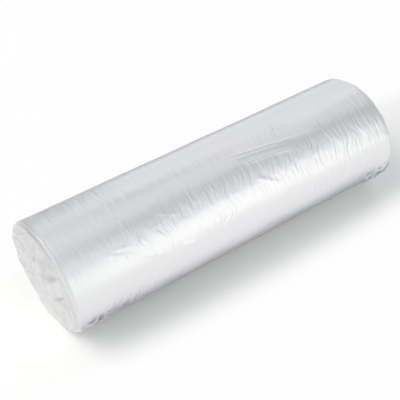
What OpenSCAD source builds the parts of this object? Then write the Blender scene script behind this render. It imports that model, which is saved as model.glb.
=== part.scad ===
// Roll of clear food bags, wound without a core and lying on its side.
// The whole web of joined bags is one piece of film, so the roll is one solid.
// X runs along the roll, Z is up, and the origin is on the table under its middle.

/* [Roll] */
// Length of the roll, which is the width of the bags
roll_length = 250; // [120:5:400]
// Diameter over the wound turns
roll_diameter = 75; // [50:1:110]
// How much larger the right end's diameter is than the left end's
diameter_gain = 0.4; // [0:0.2:3]
// Width of the flat spot that the soft roll rests on
flat_width = 16; // [8:1:24]
// Height of the long soft waves in the wound film
wave_height = 0.3; // [0:0.05:0.6]

/* [Ends] */
// Rounding of the film's folded edges around each end
rim_radius = 3.2; // [1.5:0.1:5]
// How far the left end's turns have slipped, from its lowest to its highest point
left_slip = 4.2; // [0:0.2:8]
// How far the right end's turns have slipped
right_slip = 5.6; // [0:0.2:8]
// Turns of film that stand out as a spiral on each end
visible_turns = 7; // [4:1:9]
// Height of a turn's crest above the groove beside it
turn_relief = 0.8; // [0.2:0.1:1.2]
// Radius at which the innermost turn starts
hollow_radius = 1.6; // [1:0.1:3]
// Depth of the collapsed hollow in the middle of each end
hollow_depth = 7; // [3:0.5:15]
// Height of the squashed inner turns as a share of their width
hollow_squash = 0.5; // [0.3:0.05:1]

/* [Outermost bag] */
// Step at the free edge of the last bag
tail_step = 0.5; // [0.2:0.1:1]
// Place of the free edge around the roll: 180 is the front, 270 the table
tail_angle = 208; // [200:1:245]
// How far the last bag's side edge has drifted from the left end at its free edge
edge_drift = 16; // [8:1:30]
// Height of the last bag's side edge over the turns under it
edge_step = 0.4; // [0.1:0.1:0.8]

/* [Hidden] */

film_colour = [0.83, 0.84, 0.86];

radius = roll_diameter / 2;
// Height of the roll's axis over the table, with the flat spot pressed in
axis_height = sqrt(radius * radius - flat_width * flat_width / 4);

// Directions are angles about the axis: 0 is the back, 90 the top, 180 the front
table_angle = 270;
flat_half_angle = asin(flat_width / 2 / radius);
flat_from = table_angle - flat_half_angle;
flat_to = table_angle + flat_half_angle;
left_slip_angle = 70;
right_slip_angle = 228;
drift_from_angle = 100;
tail_gap_angle = 0.4;

// Columns run once round the roll, from under the free edge to the free edge
columns_to_flat = 8;
columns_on_flat = 4;
columns_to_tail = 42;
column_angles = [
    each spread(tail_angle, flat_from, columns_to_flat),
    each spread(flat_from, flat_to, columns_on_flat),
    each spread(flat_to, tail_angle + 360 - tail_gap_angle, columns_to_tail),
    tail_angle + 360 - tail_gap_angle,
];
columns = len(column_angles);

// Rows of points along the side, and round the rim of each end
rim_rows = 4;
body_rows = 11;
edge_width = 0.4;
end_margin = rim_radius + 1;

// Each turn is a groove row and a crest row, and ends one pitch further out
rows_per_turn = 2;
spiral_rows = rows_per_turn * (visible_turns - 1);
spiral_border = 1.2;
turn_pitch = (axis_height - rim_radius - turn_relief - spiral_border - hollow_radius) / visible_turns;
squash_reach = 9;
hollow_taper = 0.6;

// Values from first up to, but not with, last
function spread(first, last, count) = [for (k = [0 : count - 1]) first + (last - first) * k / count];

function blend(low, high, share) = low + (high - low) * share;

// 0 up to start, 1 from finish on, and a smooth rise between them
function ramp(value, start, finish) =
    let (share = max(0, min(1, (value - start) / (finish - start))))
    share * share * (3 - 2 * share);

// Share of the last turn at a column: 0 just under the free edge, 1 at the free edge
function turn_share(angle) = (angle - tail_angle) / 360;

function on_flat(angle) = angle >= flat_from - 0.01 && angle <= flat_to + 0.01;

// Long waves that the winding tension leaves in the film
function wave(x, angle) =
    wave_height * (0.5 * sin(3.8 * x + 2 * angle)
        + 0.3 * sin(5.9 * x - 3 * angle + 40)
        + 0.2 * sin(2.3 * x + 5 * angle + 110));

// Radius of the outer surface. The last turn rises to the free edge as a spiral does
function side_radius(x, angle) =
    on_flat(angle) ? -axis_height / sin(angle)
    : radius + diameter_gain / 2 * x / roll_length
        - tail_step * (1 - turn_share(angle)) + wave(x, angle);

// A point at a distance from the axis, in the direction of an angle
function round_point(x, distance, angle) =
    [x, distance * cos(angle), axis_height + distance * sin(angle)];

// How far an end reaches along X. side is -1 for the left end and 1 for the right
function end_reach(side, distance, angle) =
    let (
        slip = side < 0 ? left_slip : right_slip,
        slip_angle = side < 0 ? left_slip_angle : right_slip_angle
    )
    roll_length / 2 - slip * (1 - distance / (radius - rim_radius) * cos(angle - slip_angle)) / 2;

// The last bag's side edge: its distance from the left end, and its height
function edge_margin(angle) =
    end_margin + (edge_drift - end_margin) * ramp(angle, drift_from_angle + 360, tail_angle + 360);
function edge_height(angle) =
    edge_step * ramp(angle, drift_from_angle + 330, drift_from_angle + 400);

// One row of the side surface, at a share of the way from the last bag's edge to the right end
function body_row(share) = [
    for (angle = column_angles)
        let (
            from = -end_reach(-1, radius, angle) + edge_margin(angle),
            to = end_reach(1, radius, angle) - end_margin,
            x = blend(from, to, share)
        )
        round_point(x, side_radius(x, angle), angle)
];

// The row just outside the last bag's edge, on the turns under it
function under_edge_row() = [
    for (angle = column_angles)
        let (x = -end_reach(-1, radius, angle) + edge_margin(angle) - edge_width)
        round_point(x, side_radius(x, angle) - (on_flat(angle) ? 0 : edge_height(angle)), angle)
];

// One row of a rounded rim. turn is 0 at the side and 90 at the end face
function rim_row(side, turn) = [
    for (angle = column_angles)
        let (
            x_side = side * (end_reach(side, radius, angle) - end_margin),
            lower = side < 0 && !on_flat(angle) ? edge_height(angle) : 0,
            distance = side_radius(x_side, angle) - lower - rim_radius * (1 - cos(turn)),
            x = side * (end_reach(side, distance, angle) - rim_radius * (1 - sin(turn)))
        )
        round_point(x, distance, angle)
];

// Inner turns are squashed flat where the winding rod was drawn out
function squashed(point, distance) =
    let (share = 1 - (1 - hollow_squash) * exp(-pow(distance / squash_reach, 2)))
    [point[0], point[1], axis_height + (point[2] - axis_height) * share];

function end_point(side, distance, angle, depth) =
    squashed(round_point(side * (end_reach(side, distance, angle) - depth), distance, angle), distance);

function spiral_distance(row, angle) =
    hollow_radius + turn_pitch * (row / rows_per_turn + turn_share(angle));

function groove_depth(row) = row % rows_per_turn == 0 ? turn_relief : 0;

// Crests and grooves of the turns, and the two points that close the last one
function spiral_points(side) = [
    for (row = [0 : spiral_rows])
        for (angle = column_angles)
            end_point(side, spiral_distance(row, angle), angle, groove_depth(row)),
    for (row = [spiral_rows + 1, spiral_rows + 2])
        end_point(side, spiral_distance(row, tail_angle), tail_angle, groove_depth(row)),
];

function hollow_points(side) = [
    for (angle = column_angles)
        end_point(side, hollow_radius * hollow_taper, angle, hollow_depth),
    end_point(side, 0, tail_angle, hollow_depth),
];

// All points: the left end, the side from left to right, then the right end
left_points = concat(hollow_points(-1), spiral_points(-1));
right_points = concat(hollow_points(1), spiral_points(1));
side_rows = [
    for (k = [rim_rows : -1 : 0]) rim_row(-1, 90 * k / rim_rows),
    under_edge_row(),
    for (k = [0 : body_rows - 1]) body_row(k / (body_rows - 1)),
    for (k = [0 : rim_rows]) rim_row(1, 90 * k / rim_rows),
];
side_points = [for (row = side_rows) each row];
side_start = len(left_points);
right_start = side_start + len(side_points);

// Two triangles for a four-sided patch, turned over where flip is set
function patch(a, b, c, d, flip) = flip ? [[a, c, b], [a, d, c]] : [[a, b, c], [a, c, d]];

// The strip between two closed rows
function strip(inner, outer, flip) = [
    for (j = [0 : columns - 1])
        let (k = (j + 1) % columns)
        each patch(inner + j, outer + j, outer + k, inner + k, flip)
];

// Index of a spiral point. After the last column, a turn runs on two rows further out
function spiral_index(start, row, column) =
    let (
        past = column == columns,
        real_row = past ? row + rows_per_turn : row,
        real_column = past ? 0 : column
    )
    real_row <= spiral_rows
        ? start + real_row * columns + real_column
        : start + spiral_rows * columns + columns + real_row - spiral_rows - 1;

// An end: the hollow, the turns, and the join to the rim's first row
function end_faces(start, rim_start, flip) =
    let (
        centre = start + columns,
        spiral = start + columns + 1,
        first = [for (row = [0 : rows_per_turn]) spiral_index(spiral, row, 0)],
        last = [for (row = [spiral_rows : spiral_rows + rows_per_turn]) spiral_index(spiral, row, 0)]
    )
    [
        for (j = [0 : columns - 1])
            let (k = (j + 1) % columns)
            each [
                flip ? [centre, start + k, start + j] : [centre, start + j, start + k],
                each patch(start + j, spiral_index(spiral, 0, j), spiral_index(spiral, 0, j + 1),
                    start + k, flip),
                each patch(spiral_index(spiral, spiral_rows, j), rim_start + j, rim_start + k,
                    spiral_index(spiral, spiral_rows, j + 1), flip)
            ],
        for (row = [0 : spiral_rows - 1])
            for (j = [0 : columns - 1])
                each patch(spiral_index(spiral, row, j), spiral_index(spiral, row + 1, j),
                    spiral_index(spiral, row + 1, j + 1), spiral_index(spiral, row, j + 1), flip),
        each patch(start, first[2], first[1], first[0], flip),
        each patch(rim_start, last[0], last[1], last[2], flip)
    ];

side_faces = [
    for (row = [0 : len(side_rows) - 2])
        each strip(side_start + row * columns, side_start + (row + 1) * columns, false)
];
last_row_start = right_start - columns;

// The wound film
module bag_roll() {
    color(film_colour)
        polyhedron(
            points = concat(left_points, side_points, right_points),
            faces = concat(
                end_faces(0, side_start, false),
                side_faces,
                end_faces(right_start, last_row_start, true)
            ),
            convexity = 4
        );
}

bag_roll();
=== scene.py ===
# %% [markdown]
# # A roll of thin clear food bags
#
# The object is a long web of joined film bags, wound without a core until it is as thick
# as an arm. One layer of this film is as clear as glass. In a thousand turns the light is
# thrown back at every layer, so the roll looks milky and silvery, and the outermost layer
# adds sharp glints on fine wrinkles.
#
# The lesson goes from the camera, a way to write nodes as arithmetic, the studio and the
# finish of the film to the wound film itself: one sheet of squares, bent by a rule, with
# the creases, crumples and folds of the real roll laid on it.

import math

import bpy
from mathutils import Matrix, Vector


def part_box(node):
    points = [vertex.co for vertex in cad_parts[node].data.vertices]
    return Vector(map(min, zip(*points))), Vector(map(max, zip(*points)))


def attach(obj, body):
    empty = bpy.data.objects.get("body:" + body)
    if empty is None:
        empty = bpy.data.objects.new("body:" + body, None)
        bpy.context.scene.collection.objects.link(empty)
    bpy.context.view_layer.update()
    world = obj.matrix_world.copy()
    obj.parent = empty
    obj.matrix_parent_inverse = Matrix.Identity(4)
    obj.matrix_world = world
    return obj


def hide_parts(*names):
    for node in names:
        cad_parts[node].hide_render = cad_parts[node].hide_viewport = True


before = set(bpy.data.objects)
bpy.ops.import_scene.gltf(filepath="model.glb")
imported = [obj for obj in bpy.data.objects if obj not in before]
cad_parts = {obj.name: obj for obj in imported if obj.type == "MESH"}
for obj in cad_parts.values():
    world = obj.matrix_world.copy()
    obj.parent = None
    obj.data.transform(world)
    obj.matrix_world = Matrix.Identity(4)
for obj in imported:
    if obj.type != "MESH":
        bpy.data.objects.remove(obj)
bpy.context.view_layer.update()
low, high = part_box("bag_roll")
MM = 0.001
roll_length = high.x - low.x
print("CAD box in mm:", [round(value / MM, 1) for value in high - low])

# %% [markdown]
# ## The camera
#
# The photograph looks down on the roll from the front left. The distance matters as much
# as the direction: from 0.6 m away the near end looks a fifth larger than the far end.
# A longer lens from further off would lose that taper. The roll isn't quite centred in the
# photograph. Turning the camera for that would also make the roll lean in the picture, so
# the lens is shifted instead, and the camera keeps looking straight at the middle.

# %% Camera
AZIMUTH = math.radians(-36.3)
ELEVATION = math.radians(42.2)
DISTANCE = 0.585
SENSOR = 36.0
FOCAL_PIXELS = 908.5
FRAME_PIXELS = 400.0
MIDDLE_IN_FRAME = (212.6, 195.9)
ROLL_RADIUS = 37.5 * MM
FLAT_WIDTH = 16 * MM
AXIS_HEIGHT = math.sqrt(ROLL_RADIUS**2 - (FLAT_WIDTH / 2) ** 2)

towards_camera = Vector((
    math.sin(AZIMUTH) * math.cos(ELEVATION),
    -math.cos(AZIMUTH) * math.cos(ELEVATION),
    math.sin(ELEVATION),
))
roll_middle = Vector((0, 0, AXIS_HEIGHT))

camera = bpy.data.objects.new("camera", bpy.data.cameras.new("camera"))
bpy.context.scene.collection.objects.link(camera)
camera.location = roll_middle + towards_camera * DISTANCE
camera.rotation_mode = "QUATERNION"
camera.rotation_quaternion = towards_camera.to_track_quat("Z", "Y")
camera.data.sensor_width = SENSOR
camera.data.lens = FOCAL_PIXELS / FRAME_PIXELS * SENSOR
camera.data.shift_x = 0.5 - MIDDLE_IN_FRAME[0] / FRAME_PIXELS
camera.data.shift_y = MIDDLE_IN_FRAME[1] / FRAME_PIXELS - 0.5
bpy.context.scene.camera = camera
print("lens", round(camera.data.lens, 1), "mm at", round(DISTANCE, 2), "m")

# %% [markdown]
# ## Nodes written as arithmetic
#
# Geometry Nodes and shader nodes share the same Math node. Wrapping a socket in a small
# class lets us write `radius * angle.sin()` and get the linked nodes, which keeps long
# formulas readable and lets the shape and the finish use the same words.

# %% A value in a node tree
class Field:
    """A socket's value, with which we can calculate as with a number."""

    def __init__(self, tree, socket):
        self.tree = tree
        self.socket = socket

    def math(self, operation, *values):
        node = self.tree.nodes.new("ShaderNodeMath")
        node.operation = operation
        for value, socket in zip((self, *values), node.inputs):
            plug(value, socket)
        return Field(self.tree, node.outputs[0])

    def __add__(self, other):
        return self.math("ADD", other)

    def __sub__(self, other):
        return self.math("SUBTRACT", other)

    def __mul__(self, other):
        return self.math("MULTIPLY", other)

    def __truediv__(self, other):
        return self.math("DIVIDE", other)

    def __pow__(self, other):
        return self.math("POWER", other)

    def __neg__(self):
        return self.math("MULTIPLY", -1.0)

    def __rsub__(self, other):
        return -self + other

    __radd__ = __add__
    __rmul__ = __mul__

    def sin(self):
        return self.math("SINE")

    def cos(self):
        return self.math("COSINE")

    def clamped(self):
        return self.math("MAXIMUM", 0.0).math("MINIMUM", 1.0)

    def bell(self, width):
        """1 where the value is 0, falling off to nothing over about twice the width."""
        scaled = self / width
        return (-(scaled * scaled)).math("EXPONENT")

    def rise(self, start, end):
        """0 up to start, 1 from end on, with a smooth rise between them."""
        node = self.tree.nodes.new("ShaderNodeMapRange")
        node.interpolation_type = "SMOOTHSTEP"
        for value, socket in zip((self, start, end, 0.0, 1.0), node.inputs):
            plug(value, socket)
        return Field(self.tree, node.outputs[0])


def plug(value, socket):
    """Links a field to a socket, or writes a plain number into it."""
    if isinstance(value, Field):
        value.tree.links.new(value.socket, socket)
    else:
        socket.default_value = value


print("a field knows", [name for name in vars(Field) if not name.startswith("_")])


# %% Vectors and noise
def vector(x, y, z):
    tree = next(value.tree for value in (x, y, z) if isinstance(value, Field))
    node = tree.nodes.new("ShaderNodeCombineXYZ")
    for value, socket in zip((x, y, z), node.inputs):
        plug(value, socket)
    return Field(tree, node.outputs[0])


def parts(value):
    node = value.tree.nodes.new("ShaderNodeSeparateXYZ")
    plug(value, node.inputs[0])
    return [Field(value.tree, socket) for socket in node.outputs]


def noise(place, seed, detail=2.0):
    """Smooth noise from -1 to 1. One unit of place is about one bump."""
    node = place.tree.nodes.new("ShaderNodeTexNoise")
    node.noise_dimensions = "4D"
    plug(place, node.inputs["Vector"])
    plug(seed, node.inputs["W"])
    node.inputs["Scale"].default_value = 1.0
    node.inputs["Detail"].default_value = detail
    return (Field(place.tree, node.outputs[0]) - 0.5) * 2.0


def stretched_noise(place, along_rate, round_rate, seed, detail=2.0):
    """Noise at one rate along the roll and at another round it, in bumps a metre."""
    x, y, z = place
    return noise(vector(x * along_rate, y * round_rate, z * round_rate), seed, detail)


RIDGE_WIDTH = 0.2


def ridged(value, width=RIDGE_WIDTH):
    """Turns noise into thin ridges along the lines where it is zero."""
    return value.bell(width)


print("a ridge is over where the noise is past", 2 * RIDGE_WIDTH)

# %% [markdown]
# ## The studio
#
# A glossy thing is lit by what it mirrors, so every lamp is also a band on the roll. The
# bright band along the front is the picture of a wide softbox that stands low before it.
# Two weak lamps above it make the grey strip, and the softboxes on the ceiling and behind
# make the pale lilac top. Two lamps on the left light the near end, which is matt. A ready
# surrounding picture would also light the roll, but its bands would lie where they happen
# to, and here each band has one lamp that can be moved.
#
# The floor is white paper. For the camera and in mirror images it also glows a little,
# which keeps it white without more light on the roll. Right beside the roll it doesn't
# glow, so the roll's shadow stays, and the lower edge of the roll mirrors it as a dark
# line. The Standard view shows colours as they are written.

# %% Plain walls
bpy.context.scene.view_settings.view_transform = "Standard"
WALL_COLOUR = (0.92, 0.965, 0.99, 1)
WALL_STRENGTH = 0.46
world = bpy.data.worlds.new("studio walls")
world.use_nodes = True
world.node_tree.nodes["Background"].inputs["Color"].default_value = WALL_COLOUR
world.node_tree.nodes["Background"].inputs["Strength"].default_value = WALL_STRENGTH
bpy.context.scene.world = world
print("the walls shine at", WALL_STRENGTH)

# %% Floor paper
PAPER_COLOUR = (0.97, 0.965, 0.955, 1)
GLOW_SHARE = 0.92
GLOW_START, GLOW_FULL = 39 * MM, 64 * MM
DARK_PATCH_SHAPE = 0.15  # width to length of the oval under the roll that doesn't glow
FLOOR_HALF = 4.0


def new_material(name):
    material = bpy.data.materials.new(name)
    material.use_nodes = True
    return material, material.node_tree, material.node_tree.nodes["Principled BSDF"]


floor_material, floor_tree, floor_shader = new_material("floor paper")
floor_shader.inputs["Base Color"].default_value = PAPER_COLOUR
floor_shader.inputs["Roughness"].default_value = 0.9
floor_shader.inputs["Specular IOR Level"].default_value = 0.0
glow = floor_tree.nodes.new("ShaderNodeEmission")
glow.inputs["Strength"].default_value = 1.0
ray = floor_tree.nodes.new("ShaderNodeLightPath")
seen = Field(floor_tree, ray.outputs["Is Camera Ray"])
mirrored = Field(floor_tree, ray.outputs["Is Glossy Ray"])
through = Field(floor_tree, ray.outputs["Is Transmission Ray"])
floor_place = floor_tree.nodes.new("ShaderNodeTexCoord")
floor_x, floor_y, _ = parts(Field(floor_tree, floor_place.outputs["Object"]))
from_roll = ((floor_x * DARK_PATCH_SHAPE) ** 2.0 + floor_y ** 2.0) ** 0.5
looked_at = seen.math("MAXIMUM", mirrored).math("MAXIMUM", through)
paper = floor_tree.nodes.new("ShaderNodeMixShader")
plug(looked_at * from_roll.rise(GLOW_START, GLOW_FULL) * GLOW_SHARE, paper.inputs[0])
floor_tree.links.new(floor_shader.outputs[0], paper.inputs[1])
floor_tree.links.new(glow.outputs[0], paper.inputs[2])
floor_tree.links.new(paper.outputs[0], floor_tree.nodes["Material Output"].inputs["Surface"])
floor_mesh = bpy.data.meshes.new("floor")
floor_mesh.from_pydata(
    [(x * FLOOR_HALF, y * FLOOR_HALF, 0) for x, y in ((-1, -1), (1, -1), (1, 1), (-1, 1))],
    [], [(0, 1, 2, 3)],
)
floor = bpy.data.objects.new("floor", floor_mesh)
floor_mesh.materials.append(floor_material)
bpy.context.scene.collection.objects.link(floor)
print("the floor glows in full from", round(GLOW_FULL / MM), "mm beside the middle line")


# %% Softboxes
def softbox(name, place, width, height, radiance, colour):
    """A rectangular lamp that faces the roll. Its radiance is what a mirror would show."""
    data = bpy.data.lights.new(name, "AREA")
    data.shape = "RECTANGLE"
    data.size, data.size_y = width, height
    data.energy = radiance * 4 * width * height
    data.color = colour
    lamp = bpy.data.objects.new(name, data)
    lamp.location = place
    lamp.rotation_mode = "QUATERNION"
    lamp.rotation_quaternion = (roll_middle - Vector(place)).to_track_quat("-Z", "Y")
    lamp.visible_camera = False
    bpy.context.scene.collection.objects.link(lamp)
    print(name, "radiance", radiance, "energy", round(data.energy, 2), "W")


NEUTRAL = (1.0, 1.0, 1.0)
WARM = (1.0, 0.975, 0.94)
COOL = (0.955, 0.975, 1.0)
LILAC = (0.985, 0.96, 1.0)
GREENISH = (0.93, 0.985, 0.985)
for lamp in (
    # name, place, width, height, radiance, colour
    ("front softbox", (0.31, -0.95, 0.29), 0.96, 0.58, 0.68, WARM),
    ("front haze", (0.30, -0.90, 0.85), 1.30, 0.62, 0.23, GREENISH),
    ("back softbox", (0.60, 0.80, 0.50), 0.90, 1.10, 0.33, LILAC),
    ("ceiling softbox", (0.26, 0.06, 1.29), 0.80, 1.90, 0.23, LILAC),
    ("left haze", (0.05, -0.80, 1.10), 0.70, 0.70, 0.22, COOL),
    ("low back softbox", (0.80, 0.90, 0.12), 1.20, 0.30, 0.30, LILAC),
    ("left softbox", (-1.20, -0.10, 0.80), 1.20, 1.20, 0.35, NEUTRAL),
    ("key softbox", (-0.80, 0.40, 1.05), 1.30, 0.90, 2.20, WARM),
):
    softbox(*lamp)

# %% [markdown]
# ## The finish of the film
#
# Many clear layers together are bright but not white paint: part of the light comes back
# as from a brushed mirror, part as from milk, and the outermost layer is a thin clear
# coat. The Principled shader has one input for each. The colour drifts a little, because
# the thickness of the air between the layers does. Only the wound side is like a mirror:
# the ends show the film's edges, which are matt, so the mirror's share ends at the rim. The
# left end of the roll is wound loosely, and the film there is a little hazier.
#
# Fine wrinkles run round the roll, since the film was pulled tight that way. They are
# stretched noise: it changes fast along the roll and slowly round it. Folding it at zero
# turns soft waves into sharp pleats. Drawing them with bump costs no faces. The mesh of
# the wound film, which is made further down, stores four values for this finish: how far
# the rim has turned, where the pleats gather, how they slant, and how much painted shade
# greys the film.

# %% Where a point of the film is
film, film_tree, film_shader = new_material("milky film")
coordinates = film_tree.nodes.new("ShaderNodeTexCoord")
along, across, upward = parts(Field(film_tree, coordinates.outputs["Object"]))
upward = upward - AXIS_HEIGHT
on_film = (along, across, upward)


def attribute(name):
    """A value that the geometry stores at its points."""
    node = film_tree.nodes.new("ShaderNodeAttribute")
    node.attribute_name = name
    return Field(film_tree, node.outputs["Fac"])


bend = attribute("rim_bend")
on_end = bend.rise(0.6, 1.0)
on_turns = 1.0 - bend.rise(0.05, 0.5)
loose_end = 1.0 - along.rise(-125 * MM, -55 * MM)
print("the finish reads", len(film_tree.nodes), "nodes before any pattern")

# %% Wrinkles that run round the roll
FINE_HEIGHT = 0.08 * MM
PLEAT_HEIGHT = 0.16 * MM
CRINKLE_HEIGHT = 0.22 * MM
pull = stretched_noise(on_film, 22.0, 26.0, 1.3)
slanted = attribute("pleat_place") + pull * (2.5 * MM)
fine = stretched_noise((slanted, across, upward), 420.0, 70.0, 3.3, 3.0)
pleats = ridged(stretched_noise((slanted, across, upward), 260.0, 52.0, 4.3, 1.0))
pleat_amount = attribute("pleat_share")
crinkles = ridged(stretched_noise(on_film, 60.0, 230.0, 6.3), 0.15)
height = (
    fine * FINE_HEIGHT + pleats * pleat_amount * PLEAT_HEIGHT
    + crinkles * on_end * CRINKLE_HEIGHT
)
bump = film_tree.nodes.new("ShaderNodeBump")
bump.inputs["Strength"].default_value = 1.0
bump.inputs["Distance"].default_value = 1.0
plug(height, bump.inputs["Height"])
film_tree.links.new(bump.outputs["Normal"], film_shader.inputs["Normal"])
film_tree.links.new(bump.outputs["Normal"], film_shader.inputs["Coat Normal"])
print("pleats are", round(PLEAT_HEIGHT / MM, 2), "mm high at most")


# %% Colour
MILK_COOL, MILK_LILAC = (0.862, 0.868, 0.872), (0.877, 0.864, 0.888)
END_GREY, END_PALE = (0.66, 0.66, 0.66), (0.76, 0.76, 0.76)
# The grey of the painted shade in folds, hollows, on the rim and along the edges.
PAINTED_SHADE_GREY = (0.38, 0.38, 0.39)


def blend_colours(share, first, second):
    node = film_tree.nodes.new("ShaderNodeMix")
    node.data_type = "RGBA"
    colours = [socket for socket in node.inputs if socket.type == "RGBA"]
    plug(share, node.inputs[0])
    for colour, socket in zip((first, second), colours):
        if isinstance(colour, Field):
            plug(colour, socket)
        else:
            socket.default_value = (*colour, 1)
    return Field(film_tree, next(socket for socket in node.outputs if socket.type == "RGBA"))


drift = stretched_noise(on_film, 12.0, 20.0, 8.0, 3.0)
side_colour = blend_colours(drift.rise(-0.5, 0.5), MILK_COOL, MILK_LILAC)
blotches = stretched_noise(on_film, 20.0, 130.0, 9.3, 3.0)
end_colour = blend_colours(blotches.rise(-0.5, 0.4), END_GREY, END_PALE)
plain_colour = blend_colours(on_end, side_colour, end_colour)
# Painted shade: the colour goes towards grey as far as the mesh stores painted shade.
colour = blend_colours(attribute("painted_shade"), plain_colour, PAINTED_SHADE_GREY)
plug(colour, film_shader.inputs["Base Color"])
print("the film's colours run from", MILK_COOL, "to", MILK_LILAC)

# %% Gloss
MIRROR_SHARE, END_MIRROR_SHARE = 0.72, 0.06
GLOSS, PLEAT_HAZE, LOOSE_HAZE, END_HAZE = 0.285, 0.04, 0.09, 0.25
plug(on_turns * MIRROR_SHARE + END_MIRROR_SHARE, film_shader.inputs["Metallic"])
roughness = (
    GLOSS + pleat_amount * PLEAT_HAZE + loose_end * LOOSE_HAZE + (1.0 - on_turns) * END_HAZE
)
plug(roughness, film_shader.inputs["Roughness"])
film_shader.inputs["Specular Tint"].default_value = (0.34, 0.35, 0.37, 1)
film_shader.inputs["Coat Weight"].default_value = 0.20
film_shader.inputs["Coat Roughness"].default_value = 0.28
film_shader.inputs["Coat IOR"].default_value = 1.5
print("the finish has", len(film_tree.nodes), "nodes")

# %% [markdown]
# ## The wound film
#
# The whole body is one sheet of squares, bent by a rule. Its rows run from the middle of
# the left end outwards, round the rim, along the side, and back to the middle of the right
# end. Its columns start under the film's free edge and go once round the roll. The last
# column lies one film step higher than the first, as in any spiral, so the free edge shows
# as a small step. A modelled cylinder would need all of this cut in by hand, and it would
# not follow when a size changes. Geometry Nodes do the bending, so the sizes are named
# inputs, and the points are moved all at once.

# %% A geometry tree with named sizes
class Recipe:
    """A Geometry Nodes tree whose sizes are named inputs of the modifier."""

    def __init__(self, name):
        self.tree = bpy.data.node_groups.new(name, "GeometryNodeTree")
        self.entry = self.tree.nodes.new("NodeGroupInput")
        self.settings = {}
        self.tree.interface.new_socket(
            "Geometry", in_out="OUTPUT", socket_type="NodeSocketGeometry")

    def size(self, name, value):
        """Adds a named size to the recipe."""
        socket = self.tree.interface.new_socket(
            name, in_out="INPUT", socket_type="NodeSocketFloat")
        self.settings[socket.identifier] = value
        output = next(o for o in self.entry.outputs if o.identifier == socket.identifier)
        return Field(self.tree, output)

    def step(self, kind, geometry=None, **values):
        """Adds a geometry node, sets the inputs that are named, and returns the node."""
        node = self.tree.nodes.new(kind)
        if geometry is not None:
            self.tree.links.new(geometry, node.inputs[0])
        for name, value in values.items():
            plug(value, node.inputs[name.title()])
        return node

    def finished_mesh(self, geometry, material, name):
        """Ends the tree, runs it once, and keeps the result as a plain mesh object."""
        real = self.step("GeometryNodeRealizeInstances", geometry)
        coated = self.step("GeometryNodeSetMaterial", real.outputs[0])
        coated.inputs["Material"].default_value = material
        end = self.tree.nodes.new("NodeGroupOutput")
        self.tree.links.new(coated.outputs[0], end.inputs[0])
        empty_mesh = bpy.data.meshes.new(name + "_recipe")
        carrier = bpy.data.objects.new(name + "_recipe", empty_mesh)
        bpy.context.scene.collection.objects.link(carrier)
        modifier = carrier.modifiers.new("recipe", "NODES")
        modifier.node_group = self.tree
        for identifier, value in self.settings.items():
            modifier[identifier] = value
        depsgraph = bpy.context.evaluated_depsgraph_get()
        mesh = bpy.data.meshes.new_from_object(
            carrier.evaluated_get(depsgraph), depsgraph=depsgraph)
        bpy.data.objects.remove(carrier)
        mesh.name = name
        piece = bpy.data.objects.new(name, mesh)
        bpy.context.scene.collection.objects.link(piece)
        print(name, "has", len(mesh.vertices), "points and", len(mesh.polygons), "faces")
        return piece


print("a recipe knows", [name for name in vars(Recipe) if not name.startswith("_")])

# %% Sizes of the roll
RIM_RADIUS = 3.2 * MM
recipe = Recipe("wound film")
length = recipe.size("Roll Length", roll_length)
radius = recipe.size("Roll Radius", ROLL_RADIUS)
axis_height = recipe.size("Axis Height", AXIS_HEIGHT)
gain = recipe.size("Diameter Gain", 0.4 * MM)
rim = recipe.size("Rim Radius", RIM_RADIUS)
left_slip = recipe.size("Left Slip", 4.2 * MM)
right_slip = recipe.size("Right Slip", 5.6 * MM)
tail_step = recipe.size("Tail Step", 0.8 * MM)
turn_relief = recipe.size("Turn Relief", 0.5 * MM)
hollow_depth = recipe.size("Hollow Depth", 0.8 * MM)
recess = recipe.size("Face Recess", 1.2 * MM)
dent_height = recipe.size("Dent Height", 0.55 * MM)
seed = recipe.size("Seed", 5.0)
TAIL_ANGLE = math.radians(208)
LEFT_SLIP_ANGLE = math.radians(70)
RIGHT_SLIP_ANGLE = math.radians(228)
print("the roll has", len(recipe.settings), "named sizes")

# %% Rows along the outline and columns round the roll
FACE_ROWS, RIM_ROWS, SIDE_ROWS, COLUMNS = 36, 8, 290, 256
row_count = 2 * (FACE_ROWS + RIM_ROWS) + SIDE_ROWS + 1
grid = recipe.step("GeometryNodeMeshGrid")
grid.inputs["Size X"].default_value = grid.inputs["Size Y"].default_value = 1.0
grid.inputs["Vertices X"].default_value = row_count
grid.inputs["Vertices Y"].default_value = COLUMNS + 1
place = recipe.step("GeometryNodeInputPosition")
flat_x, flat_y, _ = parts(Field(recipe.tree, place.outputs[0]))
row = (flat_x + 0.5) * float(row_count - 1)
column = (flat_y + 0.5) * float(COLUMNS)

# The last column lies on the first and closes the loop. Two thirds of the columns are on
# the half of the turn that ends at the free edge, where the camera sees the wrinkles.
is_own_column = column.math("LESS_THAN", COLUMNS - 0.5)
even_share = column / float(COLUMNS - 1) * is_own_column
turn_share = (even_share * 1.5).math("MINIMUM", even_share * 0.75 + 0.25)
TAIL_WANDER = math.radians(5)
tail_wander = noise(vector(flat_x * 14.0, 0.0, 0.0), seed + 9.0, 4.0) * TAIL_WANDER
angle = turn_share * math.tau + TAIL_ANGLE + tail_wander


def stretch_of(first_row, rows):
    """How far a row has come through one stretch of the outline, from 0 to 1."""
    return ((row - float(first_row)) / float(rows)).clamped()


left_face = stretch_of(0, FACE_ROWS)
left_rim = stretch_of(FACE_ROWS, RIM_ROWS) * (math.pi / 2)
side = stretch_of(FACE_ROWS + RIM_ROWS, SIDE_ROWS)
right_rim = stretch_of(FACE_ROWS + RIM_ROWS + SIDE_ROWS, RIM_ROWS) * (math.pi / 2)
right_face = stretch_of(FACE_ROWS + 2 * RIM_ROWS + SIDE_ROWS, FACE_ROWS)
on_left_end = 1.0 - side.math("SIGN")
print("the sheet has", row_count, "rows and", COLUMNS, "columns")

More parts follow.
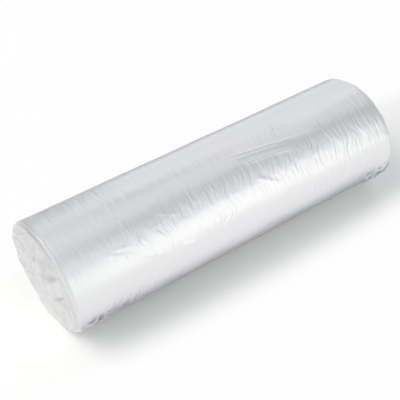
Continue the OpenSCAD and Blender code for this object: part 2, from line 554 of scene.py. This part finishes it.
# %% The outline, turned round the axis and slipped at the ends
along_plain = (
    length * -0.5 + rim * (1.0 - left_rim.cos()) + side * (length - rim * 2.0)
    + rim * right_rim.sin()
)
turn_radius = radius + gain * along_plain / length * 0.5 - tail_step * (1.0 - turn_share)
distance = (
    (turn_radius - rim) * (left_face - right_face)
    + rim * left_rim.sin() - rim * (1.0 - right_rim.cos())
)
reach = distance / (radius - rim)
left_shift = left_slip * 0.5 * (1.0 - reach * (angle - LEFT_SLIP_ANGLE).cos())
right_shift = right_slip * 0.5 * (1.0 - reach * (angle - RIGHT_SLIP_ANGLE).cos())
along_roll = along_plain + left_shift * (1.0 - side) - right_shift * side
y_plain, z_plain = distance * angle.cos(), distance * angle.sin()
on_sheet = (along_roll, y_plain, z_plain)
print("the outline takes", len(recipe.tree.nodes), "nodes")

# %% Soft dents in the side
on_side = left_rim.sin() * right_rim.cos()
DENTS_ALONG, DENTS_ROUND = 22.0, 34.0
dents = stretched_noise(on_sheet, DENTS_ALONG, DENTS_ROUND, seed, 3.0)
long_waves = stretched_noise(on_sheet, 9.0, 16.0, seed + 1.0, 1.0)
swell = (dents * 0.8 + long_waves) * dent_height
print("a dent is about", round(1 / DENTS_ALONG / MM), "mm long and",
      round(1 / DENTS_ROUND / MM), "mm high")

# %% [markdown]
# ## Creases, crumples and tufts of pleats
#
# A roll that has been handled has marks of its own: single creases, loose film that has
# gathered low on the front, and tufts of fine pleats. Noise alone can't put them in their
# places, and marks that are sculpted by hand are lost when the mesh is made again. So each
# kind has one formula, and a short list says where it is used. A place is given in mm
# along the roll from its middle, and in degrees above its front line.

# %% Single creases
around = (3 * math.pi - angle) * ROLL_RADIUS


def arc(degrees):
    """Distance round the roll from its front line to an angle above it."""
    return math.radians(degrees) * ROLL_RADIUS


def crease(start, end, width, lift):
    """A ridge from one point to another. A point is its place along the roll and its angle."""
    x1, s1 = start[0] * MM, arc(start[1])
    x2, s2 = end[0] * MM, arc(end[1])
    run = math.hypot(x2 - x1, s2 - s1)
    ux, us = (x2 - x1) / run, (s2 - s1) / run
    away, up = along_roll - x1, around - s1
    forward = away * ux + up * us
    wander = noise(vector(forward * 60.0, x1 * 100, s1 * 100), 7.0, 2.0) * (width * MM)
    sideways = up * ux - away * us + wander
    fade = forward.rise(0.0, run * 0.2) * (1.0 - forward.rise(run * 0.75, run))
    return sideways.bell(width * MM) * fade * (lift * MM)


CREASES = (
    # start, end, width and lift in mm
    ((-4.5, 77.5), (73, 60), 0.65, 0.42),
    ((2.5, 71), (55.5, 62.5), 0.6, 0.28),
    ((6.5, 63), (52.5, 55), 0.8, 0.34),
    ((13.5, 46), (31, 30), 1.4, 0.26),
    ((72, 74.5), (76, 44.5), 0.6, 0.26),
    ((37, 93), (30.5, 75), 0.7, 0.22),
    ((45, 87.5), (38.5, 71), 0.7, 0.22),
    ((51, 85.5), (45.5, 71), 0.7, 0.22),
    ((-118.5, 79), (-118.5, 47), 0.7, 0.05),
    ((-120, 93.5), (-118, 64), 0.7, 0.04),
    ((-113, 59), (-109.5, 31), 0.7, 0.06),
    ((-115.5, 49), (-114.5, 23), 0.7, 0.05),
    ((-90, 73), (-75.5, 67.5), 0.7, 0.22),
    ((-76.5, 69), (-78.5, 52), 0.7, 0.18),
    ((-91, 44.5), (-78.5, 40.5), 1.0, 0.20),
    ((-62, 62), (-41.5, 46), 0.8, 0.12),
    ((-66, 46), (-40.5, 50), 0.8, 0.10),
    ((-48, 19), (-37.5, 15.5), 1.0, 0.22),
    ((-99, 45), (-58, 18), 1.4, 0.20),
)
creased = sum(crease(*line) for line in CREASES)
print(len(CREASES), "single creases")

# %% Loose crumples low on the front, which notch the outline, and painted shade at the edges
def patch(centre, degrees, half_length, half_height):
    """1 at a place on the side, falling off to nothing round it."""
    return (
        (along_roll - centre * MM).bell(half_length * MM)
        * (around - arc(degrees)).bell(half_height * MM)
    )


CRUMPLES = (
    # place, degrees, half length, half height and lift in mm
    (110, -30, 11, 8, 2.0),
    (118, -14, 5, 7, 1.3),
    (-110, -31, 10, 7, 1.8),
    (-38, -35, 4, 4, 1.0),
    (20, -35, 9, 4, 0.6),
    (70, -34, 14, 4, 0.8),
    (-79, -35, 10, 4, 0.7),
)
# Painted shade: each spot greys the film's colour in a patch of the lower front edge or of the
# upper left edge, as a dark edge line.
PAINTED_EDGE_SHADES = (
    # place, degrees, half length and half height in mm, how dark the painted shade is
    (112, -18, 14, 6, 1.3),
    (-104, -20, 18, 4.5, 1.0),
    (-104, 120, 18, 4, 0.35),
)
lumps = noise(vector(along_roll * 170.0, around * 130.0, 0.0), seed + 7.3, 2.0)
crumpled = sum(
    patch(*area) * ridged(lumps, 0.25) * (lift * MM) for *area, lift in CRUMPLES
)
painted_edge_shade = sum(
    patch(*area) * (1.2 - ridged(lumps)) * amount for *area, amount in PAINTED_EDGE_SHADES
)
print(len(CRUMPLES), "crumples and", len(PAINTED_EDGE_SHADES), "places with deep folds")

# %% Tufts of fine pleats, drawn by the bump of the film
TUFTS = (
    # place, degrees, half length and half height in mm, slant, amount
    (40.5, 82.5, 11, 7, 0.5, 1.0),
    (7.5, 64, 10, 7, -0.2, 0.8),
    (26, 49, 9, 7, 0.3, 0.8),
    (-29, 53, 15, 6, -0.05, 1.0),
    (-13, 21, 13, 6, 0.9, 1.0),
    (100.5, 44.5, 8, 9, -0.4, 0.2),
    (57.5, 10.5, 22, 6, 1.4, 0.7),
    (-113, 58, 7, 15, -0.15, 0.9),
    (-94, -10, 30, 6, 0.2, 0.9),
    (-62, 41, 14, 7, -0.8, 0.5),
    (83, 34.5, 10, 6, 0.6, 0.4),
    (-74.5, 83, 20, 6, 0.2, 0.4),
    (-2, 47, 26, 6, 0.4, 0.55),
    (48, 45, 22, 6, 0.4, 0.4),
    (-80, 44, 22, 6, 0.6, 0.6),
)
patches = stretched_noise(on_sheet, 26.0, 34.0, seed + 6.0)
pleat_place = along_roll
pleat_share = patches.rise(-0.3, 0.5) * 0.4 + 0.30
for centre, degrees, half_length, half_height, slant, amount in TUFTS:
    inside = patch(centre, degrees, half_length, half_height)
    pleat_place = pleat_place - inside * (around - arc(degrees)) * slant
    pleat_share = pleat_share + inside * amount
from_left_end = along_roll + length * 0.5
pleat_share = pleat_share * (from_left_end.rise(8 * MM, 30 * MM) * 0.6 + 0.4)
print(len(TUFTS), "tufts of pleats")

# %% The last bag's side edge, which has drifted to the right
EDGE_IN, EDGE_DRIFT = 4.2 * MM, 11.8 * MM
EDGE_HEIGHT = 0.10 * MM
edge_place = (
    left_shift - length * 0.5 + EDGE_IN
    + angle.rise(math.radians(460), TAIL_ANGLE + math.tau) * EDGE_DRIFT
)
under_edge = 1.0 - (along_roll - edge_place).rise(-0.8 * MM, 0.8 * MM)
edge_height = angle.rise(math.radians(430), math.radians(500)) * EDGE_HEIGHT
side_relief = swell + creased + crumpled - under_edge * edge_height
bent_radius = distance + side_relief * on_side
print("the last bag lies", round(EDGE_DRIFT / MM, 1), "mm to the right at its free edge")

# %% [markdown]
# ## The ends
#
# Each end shows the edges of all the turns. They aren't flush: some turns stand out and
# some have sunk, the film between them is crumpled, and the middle has collapsed into a
# slanting hollow. A thousand modelled edges would need millions of faces. A few broad
# turns that noise breaks up, with the hollow and the main fold in their places, look the
# same from arm's length.

# %% Turns, crumples and the collapsed middle of the ends
HOLLOW_RADIUS = 1.6 * MM
VISIBLE_TURNS = 7
PLAIN_BORDER = 2.0 * MM
TURN_PITCH = (AXIS_HEIGHT - RIM_RADIUS - PLAIN_BORDER - HOLLOW_RADIUS) / VISIBLE_TURNS
phase = ((distance - HOLLOW_RADIUS) / TURN_PITCH - turn_share) * math.tau
grooves = (phase.cos() * 0.5 + 0.5) * distance.rise(3 * MM, 9 * MM)
crumple = stretched_noise(on_sheet, 10.0, 75.0, seed + 2.0)
folds = ridged(stretched_noise(on_sheet, 10.0, 110.0, seed + 3.0, 1.0), 0.15)
broken = stretched_noise(on_sheet, 10.0, 60.0, seed + 4.0).rise(-0.1, 0.3)
speckle = stretched_noise(on_sheet, 10.0, 420.0, seed + 8.0, 3.0).rise(-0.3, 0.4)
print(VISIBLE_TURNS, "broad turns,", round(TURN_PITCH / MM, 1), "mm apart")


# %% Folds, spots and painted shade in their places on the left end
def face_slit(y1, z1, y2, z2, width):
    """1 along a line on an end face, falling off beside it. Places are in mm from the middle."""
    run = math.hypot(y2 - y1, z2 - z1)
    uy, uz = (y2 - y1) / run, (z2 - z1) / run
    forward = (y_plain - y1 * MM) * uy + (z_plain - z1 * MM) * uz
    sideways = (y_plain - y1 * MM) * uz - (z_plain - z1 * MM) * uy + crumple * (2 * MM)
    fade = forward.rise(0.0, run * 0.3 * MM) * (1.0 - forward.rise(run * 0.7 * MM, run * MM))
    return sideways.bell(width * MM) * fade


def face_spot(y, z, size):
    """1 at a place on an end face, falling off to nothing round it."""
    return ((y_plain - y * MM) ** 2.0 + (z_plain - z * MM) ** 2.0).bell((size * MM) ** 2)


inner = 1.0 - distance.rise(26 * MM, 34 * MM) * 0.7
# Each slit has y and z of its start, y and z of its end, and a width.
hollow = face_slit(12, -13, -25, 20.5, 2.4)
fold = face_slit(-2, -18, -27.5, 8, 0.8)
darker_band = face_slit(8, 6, -24, 33, 5)
dark_spot = face_spot(11.4, 8.1, 4)
light_spot = face_spot(-17, 5, 5)
sunk_ring = (distance - 33 * MM).bell(1.6 * MM) * (angle - math.radians(515)).bell(0.45)
rim_shadow = (
    (left_rim - 0.85).bell(0.55) * (angle - math.radians(444)).bell(0.8) * on_left_end
)
# Painted shade: the end's colour is greyed in the hollow, along the fold and in the sunk ring,
# where shade falls, and on the upper rim. It is also darker at one spot and along one band, and
# lighter at another spot.
end_shade = (
    hollow * (speckle * 0.4 + 0.2) + fold * 0.5 + sunk_ring * 0.45
    + dark_spot * speckle * 0.8 + darker_band * (speckle * 0.2 + 0.15)
    - light_spot * 0.2 + rim_shadow * 0.9
).clamped() * (1.0 - side)
sunk = 1.0 - distance.rise(ROLL_RADIUS - 8 * MM, ROLL_RADIUS - 3.4 * MM)
face_relief = (
    crumple * inner * (1.8 * MM) + folds * broken * (0.8 * MM) - grooves * broken * turn_relief
    - hollow * hollow_depth - fold * (0.5 * MM) * (1.0 - side) - sunk * recess
)
print("the recipe has", len(recipe.tree.nodes), "nodes so far")

# %% [markdown]
# ## Bending the sheet
#
# One Set Position node bends the flat sheet. The values for the finish are stored before
# it, and the doubled points on the free edge and in the middles of the ends are merged
# after it, so that the skin is closed. Sculpting or displacing a ready cylinder would
# leave a seam where its ends meet. The result is kept as a plain mesh.

# %% Bend, weld and keep the mesh
outward = right_rim.sin() * side - left_rim.cos() * (1.0 - side)
x = along_roll + outward * face_relief
y = bent_radius * angle.cos()
z = (bent_radius * angle.sin() + axis_height).math("MAXIMUM", 0.0)
stored = {
    "rim_bend": left_rim.cos() * on_left_end + right_rim.sin(),
    # painted shade of the ends and of the lower and upper edges
    "painted_shade": (end_shade + painted_edge_shade).clamped(),
    "pleat_place": pleat_place,
    "pleat_share": pleat_share,
}
mesh_so_far = grid.outputs["Mesh"]
for name, value in stored.items():
    marked = recipe.step("GeometryNodeStoreNamedAttribute", mesh_so_far, name=name, value=value)
    mesh_so_far = marked.outputs[0]
bent = recipe.step("GeometryNodeSetPosition", mesh_so_far, position=vector(x, y, z))
welded = recipe.step("GeometryNodeMergeByDistance", bent.outputs[0], distance=0.001 * MM)
outwards = recipe.step("GeometryNodeFlipFaces", welded.outputs[0])
smooth = recipe.step("GeometryNodeSetShadeSmooth", outwards.outputs[0])
wound_film = recipe.finished_mesh(smooth.outputs[0], film, "wound_film")
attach(wound_film, "root")
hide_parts("bag_roll")

# %% [markdown]
# ## Closing the lesson
#
